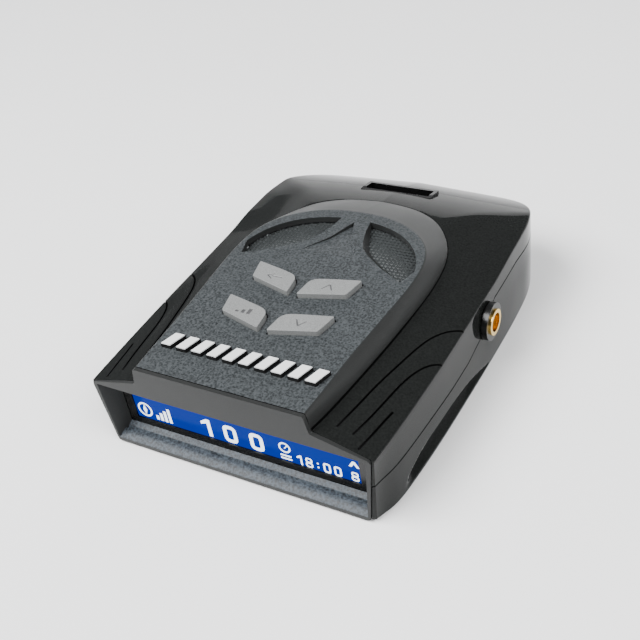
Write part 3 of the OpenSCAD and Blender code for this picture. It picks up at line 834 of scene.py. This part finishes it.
def lower_rows():
    """Rows from the underside round its edge and up the side to the seam."""
    rows = []
    for k in range(EDGE_STEPS + 1):
        row = []
        for t in PARAMS:
            foot = spline(FOOT_LINE, t)
            behind_widest = max(foot.y - WIDEST_Y, 0)
            inner_y = foot.y - FOOT_EDGE * behind_widest / (LENGTH - WIDEST_Y)
            a = Vector((foot.x * (1 - FOOT_EDGE / CASE_HALF), inner_y, 0))
            b = Vector((foot.x, foot.y, 0))
            c = Vector(wall_at(t, FOOT_EDGE))
            row.append(hollowed(bend(a, b, c, k / EDGE_STEPS)))
        rows.append(row)
    for k in range(1, SIDE_STEPS + 1):
        row = []
        for t in PARAMS:
            high = seam_z(spline(CREASE, t).y) - SEAM / 2
            z = FOOT_EDGE + (high - FOOT_EDGE) * k / SIDE_STEPS
            row.append(hollowed(Vector(wall_at(t, z))))
        rows.append(row)
    return rows


def seam_tongue():
    """A strip inside the wall that closes the seam, painted all over with flat painted shade."""
    rows = []
    for lift in (-1.2, 1.0):
        row = []
        for t in PARAMS[2:]:
            x, y, z = wall_at(t, seam_z(spline(CREASE, t).y) + lift)
            inwards = 1.0 / max(math.hypot(x, y - 50), 1)
            row.append((x - x * inwards, y - max(y - 50, 0) * inwards, z))
        rows.append(row)
    verts, faces = loft(both_sides(rows))
    tongue = make("tongue", [put(*v) for v in verts], faces, [GLOSS, PAINTED_SHADE])
    thicken(tongue, 0.5)
    paint(tongue, lambda poly: 1)
    return tongue


def underside_holes():
    """Cutters for the vents, the plate's recess, the feet and the screws, as one mesh."""
    holes = [box_cutter("vent", (x - 0.75, 66, -3), (x + 0.75, 78, 3), 0.35) for x in range(-20, 21, 4)]
    holes.append(box_cutter("plate_cut", (-19.95, 34.05, -3), (19.95, 57.95, 0.34)))
    for s in (-1, 1):
        for y in FOOT_YS:
            holes.append(prism("foot_cut", circle(s * FOOT_X, y, FOOT_HOLE_R), -3, 0.5, put))
        for x, y in SCREW_SPOTS:
            holes.append(prism("screw_cut", circle(s * x, y, SCREW_HOLE_R), -3, 3, put))
    return join(*holes)


rows = lower_rows()
whole = both_sides(rows)
verts, faces = loft(whole)
faces.append(list(range(len(whole[0]))))
strip = corner_strip(rows[EDGE_STEPS:], [row[0] for row in rows[EDGE_STEPS - 1::-1]], True)
verts, faces = add_sheet((verts, faces), strip)
lower = make("lower_shell_skin", [put(*v) for v in verts], faces, [GLOSS, PAINTED_SHADE], "case", ["lower_shell"])
thicken(lower, SKIN)
tongue = seam_tongue()
cut(lower, underside_holes(), *side_openings())
cut(tongue, *side_openings(9.3))
join(lower, tongue)
shade(lower)


# ---------------------------------------------------------------- face panel
BEVEL_STEPS, LIP_STEPS = 8, 5
SKIRT = 2.2                       # how far the panel reaches down into its pocket
BULGE_OUT, BULGE_UP = 0.25, 0.35  # how the bevel stands out from a straight slope


def panel_edges(t):
    """The lower and the upper edge of the panel's bevel at parameter t."""
    gap, top = spline(GAP_LINE, t), spline(TOP_LINE, t)
    gap += (top - gap).normalized() * PANEL_GAP
    foot = Vector((gap.x, gap.y, top_z(gap.x, gap.y, False) + PANEL_RISE))
    return foot, in_case(on_panel(top.x, top.y, 0))


def panel_rows():
    """Rows from the skirt in the pocket up the bevel and over the lip to the flat top."""
    edges = [panel_edges(t) for t in PARAMS]
    rows = [[(foot.x, foot.y, foot.z - drop) for foot, _ in edges] for drop in (SKIRT, 0.0)]
    for k in range(1, BEVEL_STEPS + 1):
        row = []
        for foot, head in edges:
            end = head - (head - foot).normalized() * PANEL_LIP
            out = Vector((foot.x, foot.y - min(foot.y, ARCH_V), 0)).normalized() * BULGE_OUT
            mid = foot.lerp(end, 0.5) + out + Vector((0, 0, BULGE_UP))
            row.append(tuple(bend(foot, mid, end, k / BEVEL_STEPS)))
        rows.append(row)
    for k in range(1, LIP_STEPS + 1):
        row = []
        for foot, head in edges:
            start = head - (head - foot).normalized() * PANEL_LIP
            centre = Vector((0, min(head.y, ARCH_V), head.z))
            inwards = (centre - head).normalized() * PANEL_LIP
            inwards.z = inwards.y * math.tan(PANEL_TILT)
            row.append(tuple(bend(start, head, head + inwards, k / LIP_STEPS)))
        rows.append(row)
    return rows


def key_outline(side, v, grow=0.0, corner=0.45):
    """A key's outline, larger by about grow."""
    points = [(1.25, 0), (12.5, 3.0), (13.75, 8.7), (6.2, 7.15), (1.9, 6.0)]
    outline = rounded(points, [corner, corner, corner * 1.2, 5.0, 3.6], 8)
    centre = Vector(KEY_CENTRE)
    out = [centre + (p - centre) * (1 + grow / 5.0) for p in outline]
    return [(side * p.x, v + p.y) for p in out][::side]


# The rib beside each recess: its edge on the panel's top and the foot of its slope, as (x, v)
RIB_EDGE = [(4.6, 61.6), (6.0, 57.2), (7.3, 54.6), (9.6, 52.4), (14.4, 48.9), (21.6, 44.9)]
RIB_FOOT = [(5.9, 61.4), (7.4, 57.6), (8.6, 55.6), (10.7, 53.6), (15.3, 50.2), (21.9, 45.9)]
RECESS_HALF, RECESS_HIGH = 23.6, 21.4
RECESS_IN, RECESS_OUT = 4.1, 23.0     # the recess runs between these distances from the middle
RECESS_STEPS = 40


def recess_cutter(side):
    """Between the inside of the arch and a rib; the wall on the rib's side slopes."""
    arc = []
    for k in range(RECESS_STEPS + 1):
        x = RECESS_IN + (RECESS_OUT - RECESS_IN) * math.sin(math.pi / 2 * k / RECESS_STEPS)
        high = (1 - (x / RECESS_HALF) ** ARCH_POWER) ** (1 / ARCH_POWER)
        arc.append((x, ARCH_V + RECESS_HIGH * high))
    levels = ((RIB_EDGE, 2.0), (RIB_EDGE, 0.0), (RIB_FOOT, -PANEL_SKIN - 0.3), (RIB_FOOT, -4.0))
    rings = [[on_panel(side * x, v, w) for x, v in arc + rib[::-1]] for rib, w in levels]
    return make("recess_cut", *closed(rings))


def notch_cutter():
    """The shallow notch where the ribs meet, deeper to the rear."""
    notch = [(0, 64.2), (-3.0, 56.6), (-7.4, 50.4), (7.4, 50.4), (3.0, 56.6)]
    low = [on_panel(x, v, -0.9 * smooth(50, 63, v) - 0.03) for x, v in notch]
    return make("notch_cut", *closed([low, [on_panel(x, v, 2) for x, v in notch]]))


def panel_slot(poly):
    """Fleck on the flat top, satin on the bevel and painted shade on the skirt in the gap."""
    c = in_case(poly.center)
    if abs(poly.normal.z) < 0.2 and c.z < top_z(c.x, c.y, False) + PANEL_RISE - 0.05:
        return 2
    return 0 if poly.normal.z > 0.985 else 1


rows = both_sides(panel_rows())
verts, faces = loft(rows)
count, n = len(rows), len(rows[0])
faces.append([(count - 1) * n + i for i in range(n)])
faces.append([r * n for r in range(count)] + [r * n + n - 1 for r in reversed(range(count))])
panel_looks = [FLECK, SATIN, PAINTED_SHADE]
panel = make("face_panel_skin", [put(*v) for v in verts], faces, panel_looks, "case", ["face_panel"])
thicken(panel, PANEL_SKIN)
for side in (-1, 1):
    for v in (KEY_FRONT_V, KEY_REAR_V):
        cut(panel, prism("key_cut", key_outline(side, v, KEY_GAP, 0.6), -4, 3, on_panel))
    cut(panel, recess_cutter(side))
cut(panel, notch_cutter())
paint(panel, panel_slot)
soften(panel, 0.14, 2, 40)
shade(panel, 30)


# ---------------------------------------------------------------- grille under the two recesses
GRILLE_STEP, GRILLE_PEAK = 0.52, 0.34
GRILLE_HALF, GRILLE_HIGH = 23.5, 22.9
GRILLE_FRONT, GRILLE_ROWS, GRILLE_SIDE = 44.95, 42, 46    # first row, rows, steps to each side


def grille_mesh():
    """A sheet of small pyramids on a square pitch, trimmed to the arch."""
    rows = []
    for j in range(GRILLE_ROWS):
        v = GRILLE_FRONT + GRILLE_STEP * j
        limit = GRILLE_HALF * (1 - ((v - ARCH_V) / GRILLE_HIGH) ** ARCH_POWER) ** (1 / ARCH_POWER)
        row = []
        for i in range(-GRILLE_SIDE, GRILLE_SIDE + 1):
            peak = GRILLE_PEAK if i % 2 and j % 2 else 0.0
            row.append((min(max(i * GRILLE_STEP, -limit), limit), v, GRILLE_W + peak))
        rows.append(row)
    return loft(rows)


verts, faces = grille_mesh()
grille = make("grille_sheet", [on_panel(*v) for v in verts], faces, [GRILLE], "case", ["grille_plate"])
shade(grille, 20)


# ---------------------------------------------------------------- keys
def chevron(cx, cv, turn, size=1.5, width=0.34):
    """An arrow head that points to the rear, turned by turn."""
    c, s = math.cos(turn), math.sin(turn)
    tip, tail = size * 0.7, -size * 0.7
    half = [(size - width, tail), (size, tail), (width * 0.5, tip)]
    points = [(-size, tail), (-size + width, tail), (0, tip - width * 1.4), *half, (-width * 0.5, tip)]
    return [(cx + c * x - s * v, cv + s * x + c * v) for x, v in points]


def arrow(x, v):
    """An arrow to the left: its head and its shaft."""
    return [chevron(x - 1.0, v, math.pi / 2, 1.2), rect(x - 0.6, v - 0.17, x + 2.2, v + 0.17)]


def bars(x, v):
    """Three bars that grow to the right."""
    out = []
    for i in range(3):
        left, low = x - 2 + 1.5 * i, v - 0.9
        out.append(rect(left, low, left + 0.9, low + 0.6 + 0.6 * i))
    return out


def key(name, side, v, marks):
    """A cap with sunk marks, the flange that holds it under the panel, and its stem."""
    cap = prism(name + "_cap", key_outline(side, v), CAP_LOW, KEY_H, on_panel, [SILVER], name, [name])
    flange = prism("flange", key_outline(side, v, 0.75), FLANGE_LOW, CAP_LOW - 0.02, on_panel)
    stem = prism("stem", circle(side * STEM_X, v + STEM_V, STEM_R, 28), STEM_LOW, FLANGE_LOW, on_panel)
    for mark in marks:
        cut(cap, prism("mark", mark, KEY_H - MARK_DEPTH, KEY_H + 1, on_panel))
    join(cap, flange, stem)
    cap.data.materials.append(INK)

    def key_slot(poly):
        """Ink on the floor of a mark, silver elsewhere."""
        centre = poly.center
        top = on_panel(centre.x / MM, (centre.y / MM - FRONT) / math.cos(PANEL_TILT), KEY_H)
        return 1 if poly.normal.z > 0.95 and 0.06 * MM < top.z - centre.z < 0.3 * MM else 0

    paint(cap, key_slot)
    soften(cap, 0.22, 3, 50)
    shade(cap, 40)


MARK_X, MARK_V = 7.3, 4.4
rear_mark, front_mark = KEY_REAR_V + MARK_V, KEY_FRONT_V + MARK_V
key("key_up", 1, KEY_REAR_V, [chevron(MARK_X, rear_mark, 0)])
key("key_down", 1, KEY_FRONT_V, [chevron(MARK_X, front_mark, math.pi)])
key("key_exit", -1, KEY_REAR_V, arrow(-MARK_X, rear_mark))
key("key_set", -1, KEY_FRONT_V, bars(-MARK_X, front_mark))


# ---------------------------------------------------------------- front frame round the display
FRAME_RADII = [1.0, 1.0, 1.1, 0.5, 0.35, 0.35, 0.5, 1.1]
MOUTH_LOW, MOUTH_HIGH = 34.2, 35.75      # half width of mouth and wall, at the foot and FRAME_HIGH
MOUTH_WALL, MOUTH_BACK = 1.25, 32.1      # wall beside the mouth, and the mouth's half width behind
MOUTH_TOP = 17.15
# The ledge in front of the display, as (y, z) from the front edge to the glass
LEDGE_LINE = [
    (-1.0, 0.95), (0.0, 1.05), (0.35, 1.35), (1.2, 1.75), (2.0, 2.1), (2.35, 2.1), (2.6, 1.75),
    (2.9, 1.8), (3.2, 2.35), (BEZEL_BACK + 0.1, 3.2),
]


def hat(g):
    """The frame's outline as (x, z), grown by g."""
    half = [(FRAME_HALF + g, -g), (FRAME_WIDE + g, 17.65), (22.3 + g, 20.7 + g), (21.5 + g, PANEL_Z + g)]
    return [(-FRAME_HALF - g, -g)] + half + [(-x, z) for x, z in half[:0:-1]]


def facing(x, z, y):
    """Outline points (x, z) placed at depth y."""
    return put(x, y, z)


def mouth_half(y, z):
    """Half width of the display mouth at depth y and height z."""
    front = MOUTH_LOW + (MOUTH_HIGH - MOUTH_LOW) * z / FRAME_HIGH - MOUTH_WALL
    return front - (front - MOUTH_BACK) * max(y, 0) / BEZEL_BACK


def mouth_cutter():
    """The display mouth: the ledge below, a slightly falling top and sides that close in."""
    rings = []
    for y, low in LEDGE_LINE:
        high = MOUTH_TOP - 0.05 * max(y, 0)
        corners = ((-1, low), (1, low), (1, high), (-1, high))
        rings.append([put(s * mouth_half(y, z), y, z) for s, z in corners])
    return make("mouth", *closed(rings))


def frame_slot(poly):
    """Fleck on the ledge inside the mouth, satin elsewhere."""
    c = in_case(poly.center)
    inside = abs(c.x) < mouth_half(c.y, c.z) - 0.4 and c.z < 4
    return 1 if inside and poly.normal.z > 0.2 else 0


outline = rounded(hat(0), FRAME_RADII)
bezel = prism("front_frame", outline, 0, RIM, facing, [SATIN, LEDGE], "case", ["front_bezel"])
tray = prism("tray", hat(-0.4), RIM - 0.02, BEZEL_BACK, facing)
cut(tray, box_cutter("tray_top", (-60, -5, 18.6), (60, 20, 40)))
combine(bezel, tray, "UNION")
cut(bezel, mouth_cutter())
paint(bezel, frame_slot)
soften(bezel, 0.16, 3, 28)
shade(bezel, 30)


# ---------------------------------------------------------------- what the display shows
SCREEN_VERTS, SCREEN_FACES = [], []


def band(outer, inner):
    """A flat ring between two outlines of equal length."""
    n = len(outer)
    base = len(SCREEN_VERTS)
    SCREEN_VERTS.extend(put(p[0], LCD_FACE, p[1]) for p in list(outer) + list(inner))
    for i in range(n):
        j = (i + 1) % n
        SCREEN_FACES.append([base + i, base + j, base + n + j, base + n + i])


def patch(points):
    """A flat filled outline."""
    base = len(SCREEN_VERTS)
    SCREEN_VERTS.extend(put(p[0], LCD_FACE, p[1]) for p in points)
    SCREEN_FACES.append([base + i for i in range(len(points))])


def zero(cx, cz, w, h, t):
    """Outer and inner outline of a figure 0."""
    left, right, low, high = cx - w / 2, cx + w / 2, cz - h / 2, cz + h / 2
    outer = rounded(rect(left, low, right, high), w * 0.42, 5)
    inner = rounded(rect(left + t, low + t, right - t, high - t), w * 0.16, 5)
    return outer, inner


def one(cx, cz, w, h, t):
    """Outline of a figure 1."""
    left, right, low, high = cx - t * 0.2, cx + t * 0.8, cz - h / 2, cz + h / 2
    flag = [(cx - w * 0.5, cz + h * 0.3), (cx - w * 0.5, cz + h * 0.14), (left, cz + h * 0.26)]
    return rect(left, low, right, high) + flag


def figure(ch, cx, cz, w, h, t):
    """A figure of width w and height h round (cx, cz), with strokes t wide."""
    if ch == "0":
        band(*zero(cx, cz, w, h, t))
    elif ch == "8":
        band(*zero(cx, cz + h * 0.235, w * 0.94, h * 0.53, t * 0.9))
        band(*zero(cx, cz - h * 0.235, w, h * 0.53, t * 0.9))
    elif ch == "1":
        patch(one(cx, cz, w, h, t))
    elif ch == ":":
        for middle in (cz - h * 0.2, cz + h * 0.2):
            dot = rect(cx - t / 2, middle - t / 2, cx + t / 2, middle + t / 2)
            patch(rounded(dot, t * 0.4, 3))


def compass(cx, cz):
    band(circle(cx, cz, 2.1, 28), circle(cx, cz, 1.65, 28))
    patch([(cx, cz + 1.5), (cx - 0.55, cz), (cx, cz - 1.5), (cx + 0.55, cz)])


def signal(left, low):
    for i in range(4):
        patch(rect(left + 1.25 * i, low, left + 0.8 + 1.25 * i, low + 1.3 + i))


def speed_dial(cx, cz):
    """A ring with a needle over two bars."""
    band(circle(cx, cz, 1.5, 24), circle(cx, cz, 1.1, 24))
    needle = [(-0.15, -0.15), (0.1, -0.25), (0.85, 0.75), (0.7, 0.9)]
    patch([(cx + x, cz + z) for x, z in needle])
    for low in (cz - 3.5, cz - 2.6):
        patch(rect(cx - 1.4, low, cx + 1.4, low + 0.45))


# The figures, each with the middle of its place across
SPEED = (("1", -9.0), ("0", -3.0), ("0", 4.0))
CLOCK = (("1", 15.0), ("8", 17.1), (":", 19.3), ("0", 21.5), ("0", 24.1))
for ch, cx in SPEED:
    figure(ch, cx, 7.6, 3.6, 5.1, 0.98)
for ch, cx in CLOCK:
    figure(ch, cx, 6.2, 1.8, 2.8, 0.44)
figure("8", 28.2, 6.2, 1.8, 2.6, 0.42)
patch([(27.0, 9.0), (27.7, 9.0), (28.3, 9.9), (28.9, 9.0), (29.6, 9.0), (28.6, 10.6), (28.0, 10.6)])
compass(-27.2, 7.4)
signal(-24.2, 5.3)
speed_dial(11.3, 8.6)

screen = make("display_figures", SCREEN_VERTS, SCREEN_FACES, [LIT], "case")
thicken(screen, 0.02)


# ---------------------------------------------------------------- floor and wall, in metres
FLOOR_HALF = 3
WALL_HALF, WALL_Y, WALL_H = 2.2, 1.3, 0.7

stage_paper, tree, shader = new_material("floor_paper", (0.9, 0.9, 0.9), 0.7)
grain = noise(tree, 8.0)
tint = colour_mix(tree, grain.outputs["Fac"], (0.89, 0.89, 0.89), (0.91, 0.91, 0.91))
tree.links.new(tint, shader.inputs["Base Color"])


def stage_sheet(name, corners):
    mesh = bpy.data.meshes.new(name)
    mesh.from_pydata(corners, [], [(0, 1, 2, 3)])
    mesh.materials.append(stage_paper)
    return link(bpy.data.objects.new(name, mesh))


floor = stage_sheet("floor", [(x, y, 0) for x, y in rect(-FLOOR_HALF, -FLOOR_HALF, FLOOR_HALF, FLOOR_HALF)])
wall = stage_sheet("wall", [(x, WALL_Y, z) for x, z in rect(-WALL_HALF, 0, WALL_HALF, WALL_H)])
